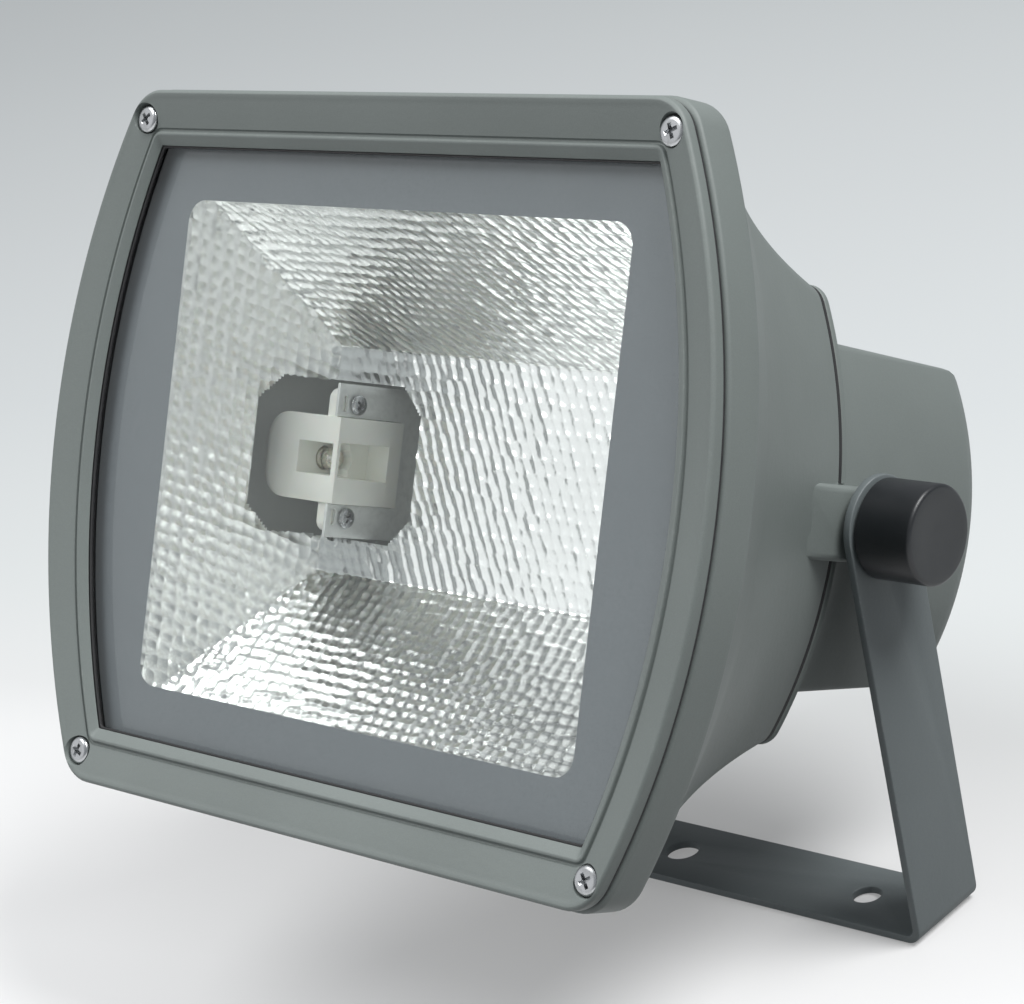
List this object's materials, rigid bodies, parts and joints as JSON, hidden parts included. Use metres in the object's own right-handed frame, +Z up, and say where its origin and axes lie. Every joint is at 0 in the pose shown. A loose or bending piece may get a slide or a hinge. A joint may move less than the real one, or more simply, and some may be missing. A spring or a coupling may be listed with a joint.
{
  "type": "floodlight",
  "caption": "Wide floodlight with bowed sides, a flared die-cast housing, a framed front glass over a hammered reflector and a gear box behind, tilting in a flat U-bracket with clamping knobs.",
  "frame": {"origin": "middle of the part's footprint, on the surface under the bracket's base", "axes": "+Z up, -Y towards the side that the light shines to, +X along the tilt axis to the viewer's right"},
  "size_m": [0.3168, 0.2826, 0.3291],
  "materials": {
    "housing_paint": "matte grey powder coat on die-cast aluminium",
    "bracket_paint": "matte dark grey powder coat on steel",
    "clear_glass": "clear toughened glass, printed grey border on its back face",
    "black_silicone": "black silicone",
    "hammered_aluminium": "bright, hammered",
    "cream_ceramic": "cream steatite, unglazed",
    "contact_brass": "nickel plated",
    "nickel_brass": "nickel plated",
    "wound_copper": "varnished copper wire",
    "laminated_steel": "laminated steel, varnished",
    "can_aluminium": "drawn can",
    "black_plastic": "smooth black moulding",
    "gear_plastic": "black moulding",
    "zinc_steel": "zinc plated"
  },
  "bodies": {
    "bracket": {"mounting_bracket": "bracket_paint"},
    "head": {"front_frame": "housing_paint", "frame_screw_top_left": "zinc_steel", "frame_screw_top_right": "zinc_steel", "frame_screw_bottom_left": "zinc_steel", "frame_screw_bottom_right": "zinc_steel", "front_glass": "clear_glass", "glass_gasket": "black_silicone", "frame_gasket": "black_silicone", "main_housing": "housing_paint", "cable_grommet": "black_silicone", "rear_cover": "housing_paint", "rear_cover_seal": "black_silicone", "cover_screw_top_left": "zinc_steel", "cover_screw_top_right": "zinc_steel", "cover_screw_bottom_left": "zinc_steel", "cover_screw_bottom_right": "zinc_steel", "reflector_trough": "hammered_aluminium", "reflector_end_left": "hammered_aluminium", "reflector_end_right": "hammered_aluminium", "reflector_screw_top_left": "zinc_steel", "reflector_screw_top_right": "zinc_steel", "reflector_screw_bottom_left": "zinc_steel", "reflector_screw_bottom_right": "zinc_steel", "gear_tray": "zinc_steel", "tray_screw_top_left": "zinc_steel", "tray_screw_top_right": "zinc_steel", "tray_screw_bottom_left": "zinc_steel", "tray_screw_bottom_right": "zinc_steel", "ballast_core": "laminated_steel", "ballast_coil": "wound_copper", "ignitor": "gear_plastic", "capacitor": "can_aluminium", "terminal_block": "gear_plastic", "gland_body": "nickel_brass", "gland_seal": "black_silicone", "gland_nut": "nickel_brass", "gland_lock_nut": "nickel_brass", "lamp_holder_left": "cream_ceramic", "lamp_holder_right": "cream_ceramic", "holder_bracket_left": "zinc_steel", "holder_bracket_right": "zinc_steel", "holder_screw_left_top": "zinc_steel", "holder_screw_left_bottom": "zinc_steel", "holder_screw_right_top": "zinc_steel", "holder_screw_right_bottom": "zinc_steel", "bracket_screw_left": "zinc_steel", "bracket_screw_right": "zinc_steel", "friction_washer_left": "gear_plastic", "friction_washer_right": "gear_plastic"},
    "knob_left": {"knob_left": "black_plastic", "pivot_stud_left": "zinc_steel", "knob_washer_left": "zinc_steel"},
    "knob_right": {"knob_right": "black_plastic", "pivot_stud_right": "zinc_steel", "knob_washer_right": "zinc_steel"},
    "contact_left": {"lamp_contact_left": "contact_brass"},
    "contact_right": {"lamp_contact_right": "contact_brass"}
  },
  "joints": [
    {"name": "head_tilt", "type": "hinge", "parent": "bracket", "child": "head", "pos_m": [0, 0.03587, 0.1558], "axis": [1, 0, 0], "range_deg": [-182, 56]},
    {"name": "knob_turn_left", "type": "hinge", "parent": "head", "child": "knob_left", "pos_m": [0, 0.03587, 0.1558], "axis": [-1, 0, 0], "range_deg": [0, 360]},
    {"name": "knob_turn_right", "type": "hinge", "parent": "head", "child": "knob_right", "pos_m": [0, 0.03587, 0.1558], "axis": [1, 0, 0], "range_deg": [0, 360]},
    {"name": "contact_push_left", "type": "slide", "parent": "head", "child": "contact_left", "axis": [-1, 0, 0], "range_m": [0, 0.003], "stiffness_N_per_m": 1500, "springref_m": -0.002},
    {"name": "contact_push_right", "type": "slide", "parent": "head", "child": "contact_right", "axis": [1, 0, 0], "range_m": [0, 0.003], "stiffness_N_per_m": 1500, "springref_m": -0.002}
  ]
}
